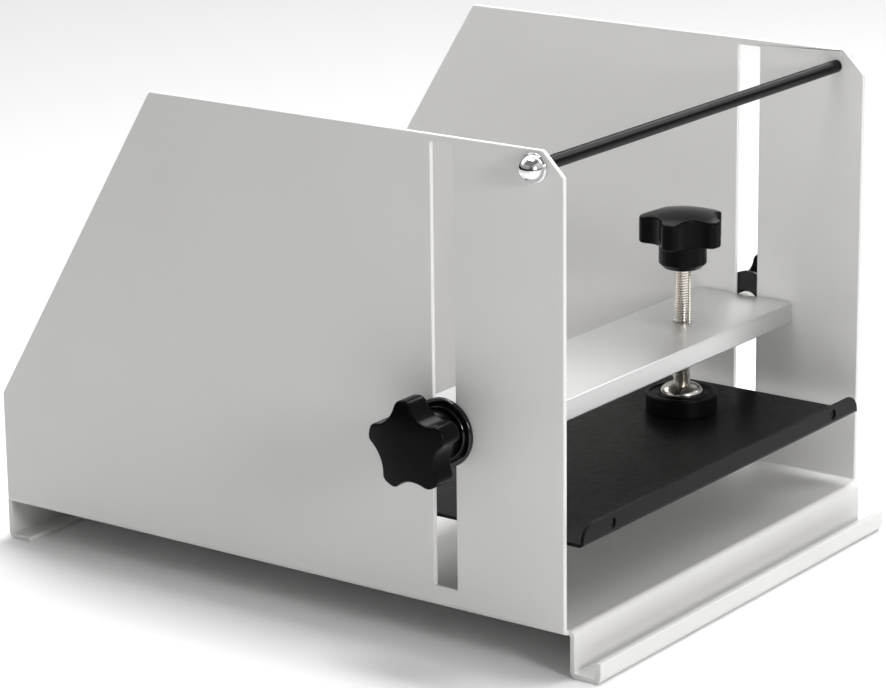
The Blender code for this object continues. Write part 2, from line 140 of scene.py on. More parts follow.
# Horizontal direction, lowest and highest sine of the elevation, level
WORLD_PANELS = (
    ((-0.8, 0.6), (0.15, 0.6), 0.32),
    ((0.7, 0.7), (0.4, 0.8), 2.4),
    ((0.6, -0.8), (0.0, 0.6), 0.6),
)
PANEL_FADE_BELOW = 0.15
PANEL_FADE_ABOVE = 0.2
PANEL_FADE_ASIDE = 0.6
LIGHT_AIM = (0.0, 0.0, 0.15)
# Name, place, size, power
LIGHTS = (
    ("right", (1.5, -1.0, 1.4), (0.8, 0.8), 9.5),
    ("right_rear", (1.6, 0.3, 1.3), (0.8, 0.8), 3.0),
    ("overhead", (0.0, -0.1, 1.3), (0.25, 0.6), 11.5),
    ("front", (-0.62, -1.9, 0.75), (0.4, 0.5), 15.0),
)
FLOOR_LEVEL = 0.86

# Camera
CAMERA_AIM = (-0.0170, -0.0121, 0.1231)
CAMERA_DISTANCE = 2.0237
CAMERA_AZIMUTH = 53.82
CAMERA_ELEVATION = 16.12
CAMERA_ROLL = -0.64
CAMERA_LENS = 142.3


# Meshes ------------------------------------------------------------------------------------------

def arc(centre, radius, start, end, steps):
    """Points of an arc, both ends included; angles in radians."""
    points = []
    for step in range(steps + 1):
        angle = start + (end - start) * step / steps
        points.append((centre[0] + radius * math.cos(angle), centre[1] + radius * math.sin(angle)))
    return points


def rounded(corners, steps=6, closed=True):
    """Turn (u, v) or (u, v, radius) corners into points, each rounded corner as an arc."""
    points = []
    count = len(corners)
    for index, corner in enumerate(corners):
        u, v = corner[:2]
        radius = corner[2] if len(corner) > 2 else 0.0
        is_end = not closed and index in (0, count - 1)
        if radius == 0 or is_end:
            points.append((u, v))
            continue
        before = corners[index - 1]
        after = corners[(index + 1) % count]
        in_angle = math.atan2(before[1] - v, before[0] - u)
        out_angle = math.atan2(after[1] - v, after[0] - u)
        half = abs(math.remainder(out_angle - in_angle, 2 * math.pi)) / 2
        middle = math.atan2(math.sin(in_angle) + math.sin(out_angle),
                            math.cos(in_angle) + math.cos(out_angle))
        reach = radius / math.sin(half)
        centre = (u + reach * math.cos(middle), v + reach * math.sin(middle))
        run = radius / math.tan(half)
        start = math.atan2(v + run * math.sin(in_angle) - centre[1],
                           u + run * math.cos(in_angle) - centre[0])
        end = math.atan2(v + run * math.sin(out_angle) - centre[1],
                         u + run * math.cos(out_angle) - centre[0])
        points += arc(centre, radius, start, start + math.remainder(end - start, 2 * math.pi), steps)
    return points


def strip_outline(corners, thickness, bend_outer, steps=10):
    """Closed outline of a folded sheet from the sharp corners of its middle line."""
    bend = bend_outer - thickness / 2
    middle = rounded([(u, v, bend) for u, v in corners], steps, closed=False)
    left, right = [], []
    for index, (u, v) in enumerate(middle):
        u0, v0 = middle[max(index - 1, 0)]
        u1, v1 = middle[min(index + 1, len(middle) - 1)]
        length = math.hypot(u1 - u0, v1 - v0)
        du, dv = (u1 - u0) / length, (v1 - v0) / length
        near = (math.hypot(u - u0, v - v0), math.hypot(u1 - u, v1 - v))
        if min(near) > 0 and max(near) > 2 * min(near):
            # At a bend's tangent point the sheet runs along its longer, straight side.
            longer = (u - u0, v - v0) if near[0] > near[1] else (u1 - u, v1 - v)
            du, dv = (value / max(near) for value in longer)
        left.append((u - dv * thickness / 2, v + du * thickness / 2))
        right.append((u + dv * thickness / 2, v - du * thickness / 2))
    return left + right[::-1]


def mesh_object(name, body, smooth=35.0):
    """Make an object of a bmesh, smooth but for edges sharper than smooth degrees."""
    bmesh.ops.recalc_face_normals(body, faces=body.faces)
    mesh = bpy.data.meshes.new(name)
    body.to_mesh(mesh)
    body.free()
    mesh.shade_smooth()
    mesh.set_sharp_from_angle(angle=math.radians(smooth))
    obj = bpy.data.objects.new(name, mesh)
    bpy.context.scene.collection.objects.link(obj)
    return obj


def realise(obj, weld=2e-6):
    """Apply an object's modifiers and weld it, keeping its name."""
    depsgraph = bpy.context.evaluated_depsgraph_get()
    mesh = bpy.data.meshes.new_from_object(obj.evaluated_get(depsgraph))
    name = obj.name
    bpy.data.objects.remove(obj, do_unlink=True)
    body = bmesh.new()
    body.from_mesh(mesh)
    bpy.data.meshes.remove(mesh)
    bmesh.ops.remove_doubles(body, verts=body.verts, dist=weld)
    return mesh_object(name, body)


def prism(name, outline, start, end, axis):
    """Extrude a closed outline along X (outline in Y, Z), Y (in X, Z) or Z (in X, Y).

    Corners are rounded to DIGITS, so that faces meant to be level with each other are.
    """
    place = {"X": lambda u, v, w: (w, u, v), "Y": lambda u, v, w: (u, w, v),
             "Z": lambda u, v, w: (u, v, w)}[axis]
    body = bmesh.new()
    low, high = ([body.verts.new(place(*(round(value, DIGITS) for value in (u, v, w))))
                  for u, v in outline] for w in (start, end))
    count = len(outline)
    for index in range(count):
        after = (index + 1) % count
        body.faces.new((low[index], low[after], high[after], high[index]))
    body.faces.new(low[::-1])
    body.faces.new(high)
    return mesh_object(name, body)


def block(name, low, high):
    """Box from its low corner to its high one."""
    return prism(name, [(low[0], low[1]), (high[0], low[1]), (high[0], high[1]), (low[0], high[1])],
                 low[2], high[2], "Z")


def lathe(name, profile, steps=96):
    """Turn a (radius, height) profile about Z; a profile off the axis is closed on itself."""
    body = bmesh.new()
    rings = []
    for radius, height in profile:
        if radius < ON_AXIS:
            rings.append([body.verts.new((0.0, 0.0, height))] * steps)
            continue
        rings.append([body.verts.new((radius * math.cos(2 * math.pi * step / steps),
                                      radius * math.sin(2 * math.pi * step / steps), height))
                      for step in range(steps)])
    pairs = list(zip(rings, rings[1:]))
    if profile[0][0] > 0:
        pairs.append((rings[-1], rings[0]))
    for upper, lower in pairs:
        for step in range(steps):
            after = (step + 1) % steps
            corners = [upper[step], upper[after], lower[after], lower[step]]
            unique = list(dict.fromkeys(corners))
            if len(unique) > 2:
                body.faces.new(unique)
    return mesh_object(name, body)


def cut(target, tool, operation="DIFFERENCE"):
    """Apply one exact Boolean and remove its tool."""
    modifier = target.modifiers.new("cut", "BOOLEAN")
    modifier.operation = operation
    modifier.solver = "EXACT"
    modifier.object = tool
    result = realise(target)
    bpy.data.objects.remove(tool, do_unlink=True)
    return result


def soften(obj, width, segments=2, angle=40.0):
    """Round off every edge sharper than angle degrees."""
    bevel = obj.modifiers.new("edges", "BEVEL")
    bevel.width = width
    bevel.segments = segments
    bevel.limit_method = "ANGLE"
    bevel.angle_limit = math.radians(angle)
    bevel.use_clamp_overlap = False
    bevel.miter_outer = "MITER_ARC"
    return obj


def even_shading(obj):
    """Keep flat faces flat next to their rounded edges."""
    weights = obj.modifiers.new("shading", "WEIGHTED_NORMAL")
    weights.mode = "FACE_AREA"
    weights.keep_sharp = True
    weights.weight = 80
    return obj


def axis_point(low, high, side):
    """The inboard end, on its axis, of a piece that lies along X."""
    return (low.x if side > 0 else high.x, (low.y + high.y) / 2, (low.z + high.z) / 2)


def place_on_axis(obj, origin, side=0):
    """Put a turned piece at origin, its height up, or outwards along X for side -1 or 1."""
    obj.matrix_world = Matrix.Translation(origin) @ Matrix.Rotation(side * math.pi / 2, 4, "Y")
    return obj


def install(obj, material, slot, body, *nodes):
    """Dress a finished piece, hand it to its body and let it stand for its CAD nodes."""
    obj.name = f"fine_{nodes[0]}"
    obj.data.materials.clear()
    obj.data.materials.append(material)
    even_shading(obj)
    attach(obj, body)
    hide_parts(*nodes)
    return obj


def centre_of(node):
    """Middle of a CAD node's box."""
    low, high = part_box(node)
    return (low + high) / 2


# Materials ---------------------------------------------------------------------------------------

class Surface:
    """A Principled material with helpers for procedural colour, roughness and relief."""

    def __init__(self, name, colour, roughness, metallic=0.0, **sockets):
        self.material = bpy.data.materials.new(name)
        self.material.use_nodes = True
        self.nodes = self.material.node_tree.nodes
        self.links = self.material.node_tree.links
        self.shader = self.nodes["Principled BSDF"]
        self.shader.inputs["Base Color"].default_value = (*colour, 1.0)
        self.shader.inputs["Roughness"].default_value = roughness
        self.shader.inputs["Metallic"].default_value = metallic
        for socket, value in sockets.items():
            self.shader.inputs[socket.replace("_", " ")].default_value = value
        self.place = self.nodes.new("ShaderNodeTexCoord").outputs["Object"]
        self.height = None

    def noise(self, scale, stretch=(1.0, 1.0, 1.0), detail=3.0, roughness=0.5):
        """Noise in the piece's own coordinates, stretched along its axes."""
        mapping = self.nodes.new("ShaderNodeMapping")
        mapping.inputs["Scale"].default_value = stretch
        self.links.new(self.place, mapping.inputs["Vector"])
        noise = self.nodes.new("ShaderNodeTexNoise")
        noise.inputs["Scale"].default_value = scale
        noise.inputs["Detail"].default_value = detail
        noise.inputs["Roughness"].default_value = roughness
        self.links.new(mapping.outputs["Vector"], noise.inputs["Vector"])
        return noise.outputs["Fac"]

    def spread(self, value, low, high):
        """Map a noise value from its usual 0.3 to 0.7 onto low to high."""
        ramp = self.nodes.new("ShaderNodeMapRange")
        ramp.inputs["From Min"].default_value = 0.3
        ramp.inputs["From Max"].default_value = 0.7
        ramp.inputs["To Min"].default_value = low
        ramp.inputs["To Max"].default_value = high
        self.links.new(value, ramp.inputs["Value"])
        return ramp.outputs["Result"]

    def vary_roughness(self, value, low, high):
        """Let the roughness follow a noise value."""
        self.links.new(self.spread(value, low, high), self.shader.inputs["Roughness"])
        return self

    def vary_colour(self, value, first, second):
        """Let the colour run from first to second with a noise value."""
        mix = self.nodes.new("ShaderNodeMix")
        mix.data_type = "RGBA"
        mix.inputs["A"].default_value = (*first, 1.0)
        mix.inputs["B"].default_value = (*second, 1.0)
        self.links.new(self.spread(value, 0.0, 1.0), mix.inputs["Factor"])
        self.links.new(mix.outputs["Result"], self.shader.inputs["Base Color"])
        return self

    def relief(self, value, distance, strength=1.0):
        """Add one bump layer on top of those already there."""
        bump = self.nodes.new("ShaderNodeBump")
        bump.inputs["Distance"].default_value = distance
        bump.inputs["Strength"].default_value = strength
        self.links.new(value, bump.inputs["Height"])
        if self.height is not None:
            self.links.new(self.height, bump.inputs["Normal"])
        self.height = bump.outputs["Normal"]
        self.links.new(self.height, self.shader.inputs["Normal"])
        return self


def grey_powder_coat():
    """Warm light grey with a faint cloud and a fine orange peel."""
    paint = Surface("grey_powder_coat", (0.60, 0.59, 0.575), 0.5)
    orange_peel = paint.noise(700.0, detail=2.0)
    cloud = paint.noise(9.0, detail=2.0)
    paint.vary_colour(cloud, (0.665, 0.66, 0.648), (0.685, 0.68, 0.668))
    paint.vary_roughness(paint.noise(160.0), 0.46, 0.56)
    paint.relief(orange_peel, 0.00004, 0.6)
    return paint.material


def black_satin_paint(name, level, low, high):
    """Black paint of a given level, its roughness from low to high."""
    paint = Surface(name, (level, level, level * 1.04), low, Specular_IOR_Level=0.06)
    paint.vary_colour(paint.noise(60.0), (level * 0.9,) * 3, (level * 1.15,) * 3)
    paint.vary_roughness(paint.noise(220.0), low, high)
    paint.relief(paint.noise(1500.0, detail=2.0), 0.00003, 0.5)
    return paint.material


def satin_aluminium():
    """Drawn aluminium, its grain along the bar."""
    metal = Surface("satin_aluminium", (0.74, 0.74, 0.735), 0.36, 1.0)
    grain = metal.noise(30.0, (1.0, 60.0, 60.0), detail=6.0, roughness=0.6)
    metal.vary_colour(grain, (0.64, 0.64, 0.635), (0.71, 0.71, 0.705))
    metal.vary_roughness(grain, 0.33, 0.42)
    metal.relief(grain, 0.00002, 0.4)
    return metal.material


def moulded_black(name, low, high, specular):
    """Black plastic, its roughness from low to high."""
    plastic = Surface(name, (0.003, 0.003, 0.0033), low, Specular_IOR_Level=specular)
    plastic.vary_colour(plastic.noise(80.0), (0.0025, 0.0025, 0.003), (0.0035, 0.0035, 0.004))
    plastic.vary_roughness(plastic.noise(300.0), low, high)
    plastic.relief(plastic.noise(1800.0, detail=2.0), 0.00001, 0.35)
    return plastic.material


def turned_metal(name, colour, low, high):
    """Bright turned metal with faint rings around its own axis."""
    metal = Surface(name, colour, low, 1.0)
    metal.vary_colour(metal.noise(120.0), tuple(0.94 * value for value in colour),
                      tuple(min(1.0, 1.05 * value) for value in colour))
    metal.vary_roughness(metal.noise(60.0, (1.0, 1.0, 40.0), detail=4.0), low, high)
    return metal.material


def natural_nylon():
    """Undyed nylon of the guide bushes."""
    plastic = Surface("natural_nylon", (0.62, 0.61, 0.58), 0.35)
    plastic.vary_colour(plastic.noise(90.0), (0.60, 0.59, 0.56), (0.64, 0.63, 0.60))
    plastic.vary_roughness(plastic.noise(300.0), 0.3, 0.42)
    return plastic.material


def floor_white():
    """White paper with hardly any variation."""
    paper = Surface("floor_white", (FLOOR_LEVEL,) * 3, 0.7)
    paper.vary_colour(paper.noise(3.0), (0.995 * FLOOR_LEVEL,) * 3, (1.005 * FLOOR_LEVEL,) * 3)
    return paper.material


# Pieces ------------------------------------------------------------------------------------------

def folded_body(paint):
    """Base, slotted sides, front tray and rear foot of one sheet, with its cut edges eased."""
    low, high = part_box("folded_body")
    half = SHEET / 2
    side_x = high.x - half
    front_y = low.y + TRAY_REACH
    rear_y = high.y - BEND_OUTER
    base_z = high.z - SIDE_HEIGHT
    channel = prism(
        "folded_body",
        strip_outline([(-side_x, high.z), (-side_x, base_z + half), (side_x, base_z + half),
                       (side_x, high.z)], SHEET, BEND_OUTER),
        front_y - 2 * TONGUE, rear_y + 2 * TONGUE, "Y")
    outline = rounded([
        (front_y, 0.0), (front_y, high.z - FRONT_CHAMFER, CHAMFER_ROUND),
        (front_y + FRONT_CHAMFER, high.z, CHAMFER_ROUND), (front_y + TOP_EDGE, high.z, CHAMFER_ROUND),
        (rear_y, base_z + REAR_HEIGHT, CHAMFER_ROUND), (rear_y, 0.0)], 8)
    body = cut(channel, prism("outline", outline, 2 * low.x, 2 * high.x, "X"), "INTERSECT")

    strip = high.x - BEND_OUTER
    tray_web = front_y - BEND_OUTER + half
    tray = prism("tray", strip_outline(
        [(front_y + TONGUE, base_z + half), (tray_web, base_z + half), (tray_web, half),
         (low.y + half, half), (low.y + half, TRAY_LIP)], SHEET, BEND_OUTER), -strip, strip, "X")
    foot_web = high.y - half
    foot = prism("foot", strip_outline(
        [(rear_y - TONGUE, base_z + half), (foot_web, base_z + half), (foot_web, half),
         (high.y - FOOT_REACH, half)], SHEET, BEND_OUTER), -strip, strip, "X")
    body = cut(body, tray, "UNION")
    body = cut(body, foot, "UNION")

    slot_y = centre_of("clamp_bar").y
    body = cut(body, block("slots", (2 * low.x, slot_y - SLOT_WIDTH / 2, base_z + SLOT_ABOVE_BASE),
                           (2 * high.x, slot_y + SLOT_WIDTH / 2, high.z - SLOT_TOP_MARGIN)))
    holes = lathe("holes", [(0.0, 2 * high.x), (ROD_HOLE / 2, 2 * high.x), (ROD_HOLE / 2, 2 * low.x),
                            (0.0, 2 * low.x)], 32)
    rod = centre_of("tie_rod")
    holes.data.transform(Matrix.Translation((0.0, rod.y, rod.z)) @ Matrix.Rotation(math.pi / 2, 4, "Y"))
    body = cut(body, holes)
    soften(body, CUT_EDGE, 2, 50.0)
    return install(body, paint, "grey_paint", "stand", "folded_body")


def tie_rod(paint):
    """Round rod with a bore in each end for its screw."""
    low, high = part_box("tie_rod")
    radius = (high.z - low.z) / 2
    bore = ROD_HOLE / 2
    length = high.x - low.x
    far_floor = length - ROD_BORE_DEPTH
    rod = lathe("tie_rod", rounded([
        (0.0, far_floor), (bore, far_floor), (bore, length), (radius, length, ROD_END_EDGE),
        (radius, 0.0, ROD_END_EDGE), (bore, 0.0), (bore, ROD_BORE_DEPTH), (0.0, ROD_BORE_DEPTH)],
        4, closed=False), 64)
    place_on_axis(rod, (low.x, (low.y + high.y) / 2, (low.z + high.z) / 2), 1)
    return install(rod, paint, "black_paint", "stand", "tie_rod")


def rod_screw(word, side, chrome):
    """Mushroom-headed chrome screw."""
    node = f"tie_rod_screw_{word}"
    low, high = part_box(node)
    head = (high.z - low.z) / 2
    outer_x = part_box("folded_body")[1].x + FIT
    top = high.x - outer_x if side > 0 else -outer_x - low.x
    tip = (high.x - low.x) - top
    seat = HEAD_RIM + HEAD_STEP
    dome_radius = head - HEAD_INSET
    shank = ROD_SHANK / 2
    point = ROD_SHANK_POINT
    step_angle = math.radians(4)
    dome = [(dome_radius * math.sin(step_angle * step), seat + (top - seat) * math.cos(step_angle * step))
            for step in range(22)]
    skirt = rounded([(dome_radius, seat), (dome_radius, HEAD_RIM, 0.15 * MM),
                     (head, HEAD_RIM, 0.5 * MM), (head, 0.0, 0.5 * MM), (shank, 0.0),
                     (shank, point - tip), (shank - point, -tip), (0.0, -tip)], 5, closed=False)
    screw = lathe(node, dome + skirt, 96)
    place_on_axis(screw, (side * outer_x, (low.y + high.y) / 2, (low.z + high.z) / 2), side)
    return install(screw, chrome, "chrome", "stand", node)


def clamp_bar(aluminium):
    """Flat bar with an upright hole for each spindle and a bore in each end for a clamp stud."""
    low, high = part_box("clamp_bar")
    bar = block("clamp_bar", low, high)
    middle = (low + high) / 2
    radius = PRESS_THREAD[0] / 2 + FIT
    stud = STUD_THREAD[0] / 2 + FIT
    above, below = high.z + 10 * MM, low.z - 10 * MM
    for word, side in SIDES:
        screw = centre_of(f"press_screw_{word}")
        hole = lathe("hole", [(0.0, above), (radius, above), (radius, below), (0.0, below)], 64)
        hole.data.transform(Matrix.Translation((screw.x, screw.y, 0.0)))
        bar = cut(bar, hole)
        bore = lathe("bore", [(0.0, STUD_BORE_DEPTH), (stud, STUD_BORE_DEPTH),
                              (stud, -STUD_BORE_DEPTH), (0.0, -STUD_BORE_DEPTH)], 48)
        bore.data.transform(Matrix.Translation((side * high.x, middle.y, middle.z))
                            @ Matrix.Rotation(math.pi / 2, 4, "Y"))
        bar = cut(bar, bore)
    soften(bar, BAR_EDGE, 3, 50.0)
    return install(bar, aluminium, "satin_aluminium", "clamp_beam", "clamp_bar")


def threaded_rod(name, size, low, high, steps=48):
    """Rod with a helical thread about Z and chamfered ends, from low to high."""
    diameter, pitch = size
    crest = diameter / 2
    root = crest - THREAD_DEPTH * pitch
    eased = crest - THREAD_EASE * pitch
    # One turn's profile: share of the pitch, radius
    rows = ((0.0, root), (0.25, root), (0.54, eased), (0.58, crest), (0.67, crest), (0.71, eased))
    count = steps * (int((high - low) / pitch) + 4)
    start = (low + high - pitch * count / steps) / 2 - pitch / 2
    body = bmesh.new()
    grid = []
    for index in range(count + 1):
        angle = 2 * math.pi * index / steps
        grid.append([body.verts.new((radius * math.cos(angle), radius * math.sin(angle),
                                     start + pitch * (index / steps + share)))
                     for share, radius in rows])
    last = len(rows) - 1
    for index in range(count):
        here, after = grid[index], grid[index + 1]
        for row in range(last):
            body.faces.new((here[row], after[row], after[row + 1], here[row + 1]))
    for index in range(count - steps):
        body.faces.new((grid[index][last], grid[index + 1][last],
                        grid[index + 1 + steps][0], grid[index + steps][0]))
    bottom = [grid[index][0] for index in range(steps + 1)] + grid[0][last:0:-1]
    top = [grid[index][last] for index in range(count - steps, count + 1)] + grid[count][last - 1::-1]
    for ring, tip in ((bottom, start - pitch), (top, start + pitch * (count / steps + 2))):
        centre = body.verts.new((0.0, 0.0, tip))
        for index, corner in enumerate(ring):
            body.faces.new((corner, ring[(index + 1) % len(ring)], centre))
    rod = mesh_object(name, body)
    proud = crest + 0.2 * MM
    flat = root - 0.1 * MM
    slope = proud - flat
    trim = lathe("trim", [(0.0, high), (flat, high), (proud, high - slope), (proud, low + slope),
                          (flat, low), (0.0, low)])
    return cut(rod, trim, "INTERSECT")


def guide_bush(word, side, nylon):
    """Plain bush round a clamp stud, in its slot."""
    node = f"guide_bush_{word}"
    low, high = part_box(node)
    length = high.x - low.x
    outer = (high.z - low.z) / 2
    inner = STUD_THREAD[0] / 2 + FIT
    edge = 0.5 * MM
    bush = lathe(node, rounded([(inner, length, edge), (outer, length, edge), (outer, 0.0, edge),
                                (inner, 0.0, edge)], 4), 72)
    place_on_axis(bush, axis_point(low, high, side), side)
    return install(bush, nylon, "guide_nylon", "clamp_beam", node)


def clamp_washer(word, side, plastic):
    """Wide washer with a raised, rounded rim and a ring groove inside it."""
    node = f"clamp_washer_{word}"
    low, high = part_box(node)
    thick = high.x - low.x
    outer = (high.z - low.z) / 2
    inner = STUD_THREAD[0] / 2 + FIT
    rim = outer - WASHER_RIM
    floor = thick - WASHER_GROOVE_DEPTH
    washer = lathe(node, rounded([
        (inner, thick), (rim - WASHER_GROOVE, thick, 0.6 * MM),
        (rim - WASHER_GROOVE + 0.6 * MM, floor, 0.2 * MM),
        (rim - 0.5 * MM, floor, 0.2 * MM), (rim, thick, 0.6 * MM), (outer, thick, 1.1 * MM),
        (outer, 0.0, 0.5 * MM), (inner, 0.0)], 5), 144)
    place_on_axis(washer, axis_point(low, high, side), side)
    return install(washer, plastic, "black_plastic", f"clamp_pad_{word}", node)


def clamp_stud(word, side, steel):
    """Threaded stud from a clamp knob into the bar's end."""
    node = f"clamp_stud_{word}"
    low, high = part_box(node)
    stud = threaded_rod(node, STUD_THREAD, 0.0, high.x - low.x)
    place_on_axis(stud, axis_point(low, high, side), side)
    return install(stud, steel, "stud_steel", f"clamp_handle_{word}", node)


def press_screw(word, steel):
    """Threaded spindle with a polished domed foot."""
    node = f"press_screw_{word}"
    low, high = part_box(node)
    length = high.z - low.z
    ball = (high.x - low.x) / 2
    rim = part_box(f"foot_cup_{word}")[1].z - low.z
    dome_angle, under_angle = math.radians(3), math.radians(6)
    dome = [(ball * math.sin(dome_angle * step), rim + DOME_HEIGHT * math.cos(dome_angle * step))
            for step in range(31)]
    heel = DOME_FLAT * ball
    under = [(heel + (ball - heel) * math.cos(under_angle * step),
              rim - rim * math.sin(under_angle * step)) for step in range(1, 16)]
    foot = lathe("foot", dome + under + [(0.0, 0.0)], 128)
    screw = threaded_rod(node, PRESS_THREAD, rim, length)
    screw = cut(screw, foot, "UNION")
    place_on_axis(screw, ((low.x + high.x) / 2, (low.y + high.y) / 2, low.z))
    return install(screw, steel, "screw_steel", f"press_spindle_{word}", node)


def foot_cup(word, plastic):
    """Round foot: a socket for the dome and a shallow ring recess around it."""
    node = f"foot_cup_{word}"
    low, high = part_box(node)
    tall = high.z - low.z
    outer = (high.x - low.x) / 2
    screw_low, screw_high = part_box(f"press_screw_{word}")
    socket = (screw_high.x - screw_low.x) / 2 + FIT
    floor = screw_low.z - low.z - FIT
    collar = socket + CUP_WALL
    ring = outer - CUP_WALL
    recess = tall - CUP_RECESS
    cup = lathe(node, rounded([
        (0.0, floor), (socket, floor, 1.0 * MM), (socket, tall, 0.4 * MM),
        (collar, tall, 0.4 * MM), (collar + 0.5 * MM, recess, 0.3 * MM),
        (ring - 1.2 * MM, recess, 0.3 * MM), (ring - 0.5 * MM, tall, 0.4 * MM),
        (outer, tall, 1.1 * MM), (outer, 0.0, 0.6 * MM), (0.0, 0.0)], 5, closed=False), 144)
    place_on_axis(cup, ((low.x + high.x) / 2, (low.y + high.y) / 2, low.z))
    return install(cup, plastic, "black_plastic", "press_foot", node)


def knob_insert(word, brass):
    """Threaded bush moulded into a spindle's knob."""
    node = f"knob_insert_{word}"
    low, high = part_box(node)
    tall = high.z - low.z
    outer = (high.x - low.x) / 2
    bore = PRESS_THREAD[0] / 2 + FIT
    edge = 0.4 * MM
    insert = lathe(node, rounded([(bore, tall, edge), (outer, tall, edge), (outer, 0.0, edge),
                                  (bore, 0.0, edge)], 4), 72)
    place_on_axis(insert, ((low.x + high.x) / 2, (low.y + high.y) / 2, low.z))
    return install(insert, brass, "brass", f"press_spindle_{word}", node)


def star_outline(outer, inset):
    """Points around a star knob: lobe arcs, rounded corners and flutes, moved in by inset."""
    pitch = 2 * math.pi / KNOB_LOBES
    corner = outer - KNOB_CORNER
    distance = KNOB_VALLEY + KNOB_FLUTE
    reach = KNOB_FLUTE + KNOB_CORNER
    away = math.acos((corner ** 2 + distance ** 2 - reach ** 2) / (2 * corner * distance))
    points = []
    for lobe in range(KNOB_LOBES):
        middle = lobe * pitch
        edge = middle + pitch / 2 - away
        fillet = (corner * math.cos(edge), corner * math.sin(edge))
        flute = (distance * math.cos(middle + pitch / 2), distance * math.sin(middle + pitch / 2))
        turn = math.atan2(flute[1] - fillet[1], flute[0] - fillet[0])
        turn = edge + math.remainder(turn - edge, 2 * math.pi)
        points += arc((0.0, 0.0), outer - inset, 2 * middle - edge, edge, 10)[:-1]
        points += arc(fillet, KNOB_CORNER - inset, edge, turn, 7)[:-1]
        sweep = turn + math.pi - (middle + pitch / 2)
        start = middle + pitch / 2 + math.remainder(sweep, 2 * math.pi)
        end = 2 * (middle + pitch / 2) - start
        points += arc(flute, KNOB_FLUTE + inset, start, start + math.remainder(end - start, 2 * math.pi),
                      14)[:-1]
        following = 2 * (middle + pitch / 2) - edge
        mirror = (corner * math.cos(following), corner * math.sin(following))
        inward = 2 * (middle + pitch / 2) - turn
        points += arc(mirror, KNOB_CORNER - inset, inward, following, 7)[:-1]
    return points


def star_knob(name, outer, tall, bore, depth, turn):
    """Star knob with a crowned face, eased edges and a chamfered hub; hub end at z = 0.

    It is a stack of rings round its axis: face, upper edge, lower edge, hub and bore.
    """
    rim_top = tall - KNOB_CROWN
    flat = outer - KNOB_EDGE

    def crown(x, y):
        return rim_top + KNOB_CROWN * (1 - (x * x + y * y) / flat ** 2)

    inner = star_outline(outer, KNOB_EDGE)
    rings = []
    for share in KNOB_FACE_RINGS:
        rings.append([(x * share, y * share, crown(x * share, y * share)) for x, y in inner])
    quarter = [math.radians(15 * step) for step in range(7)]
    for angle in quarter:
        inset = KNOB_EDGE * (1 - math.sin(angle))
        rings.append([(x, y, crown(*edge) - KNOB_EDGE * (1 - math.cos(angle)))
                      for (x, y), edge in zip(star_outline(outer, inset), inner)])
    for angle in quarter:
        inset = KNOB_EDGE * (1 - math.cos(angle))
        rings.append([(x, y, KNOB_HUB_HEIGHT + KNOB_EDGE * (1 - math.sin(angle)))
                      for x, y in star_outline(outer, inset)])
    hub = rounded([(KNOB_HUB + 1.0 * MM, KNOB_HUB_HEIGHT), (KNOB_HUB, KNOB_HUB_HEIGHT, 0.8 * MM),
                   (KNOB_HUB, KNOB_HUB_CHAMFER, 0.6 * MM), (KNOB_HUB - KNOB_HUB_CHAMFER, 0.0, 0.6 * MM),
                   (bore, 0.0, 0.3 * MM), (bore, depth), (0.2 * bore, depth)], 4, closed=False)
    for radius, height in hub:
        rings.append([(radius * x / math.hypot(x, y), radius * y / math.hypot(x, y), height)
                      for x, y in inner])

    body = bmesh.new()
    grid = [[body.verts.new(point) for point in ring] for ring in rings]
    count = len(inner)
    for upper, lower in zip(grid, grid[1:]):
        for index in range(count):
            after = (index + 1) % count
            body.faces.new((upper[index], upper[after], lower[after], lower[index]))
    body.faces.new(grid[0])
    body.faces.new(grid[-1])
    bmesh.ops.rotate(body, verts=body.verts, matrix=Matrix.Rotation(math.radians(turn), 3, "Z"))
    return mesh_object(name, body, 50.0)


def press_knob(word, turn, plastic):
    """Star knob on top of a spindle."""
    node = f"press_knob_{word}"
    low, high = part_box(node)
    insert_low, insert_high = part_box(f"knob_insert_{word}")
    bore = (insert_high.x - insert_low.x) / 2 + FIT
    knob = star_knob(node, KNOB_OUTER, high.z - low.z, bore, insert_high.z - low.z + FIT, turn)
    screw = centre_of(f"press_screw_{word}")
    place_on_axis(knob, (screw.x, screw.y, low.z))
    return install(knob, plastic, "knob_plastic", f"press_spindle_{word}", node)


def clamp_knob(word, side, turn, plastic):
    """Star knob outside a slot, on its stud."""
    node = f"clamp_knob_{word}"
    low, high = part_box(node)
    stud_low, stud_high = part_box(f"clamp_stud_{word}")
    start = low.x if side > 0 else high.x
    depth = stud_high.x - start if side > 0 else start - stud_low.x
    knob = star_knob(node, KNOB_OUTER, high.x - low.x, STUD_THREAD[0] / 2 + FIT, depth + FIT, turn)
    place_on_axis(knob, (start, (stud_low.y + stud_high.y) / 2, (stud_low.z + stud_high.z) / 2), side)
    return install(knob, plastic, "knob_plastic", f"clamp_handle_{word}", node)


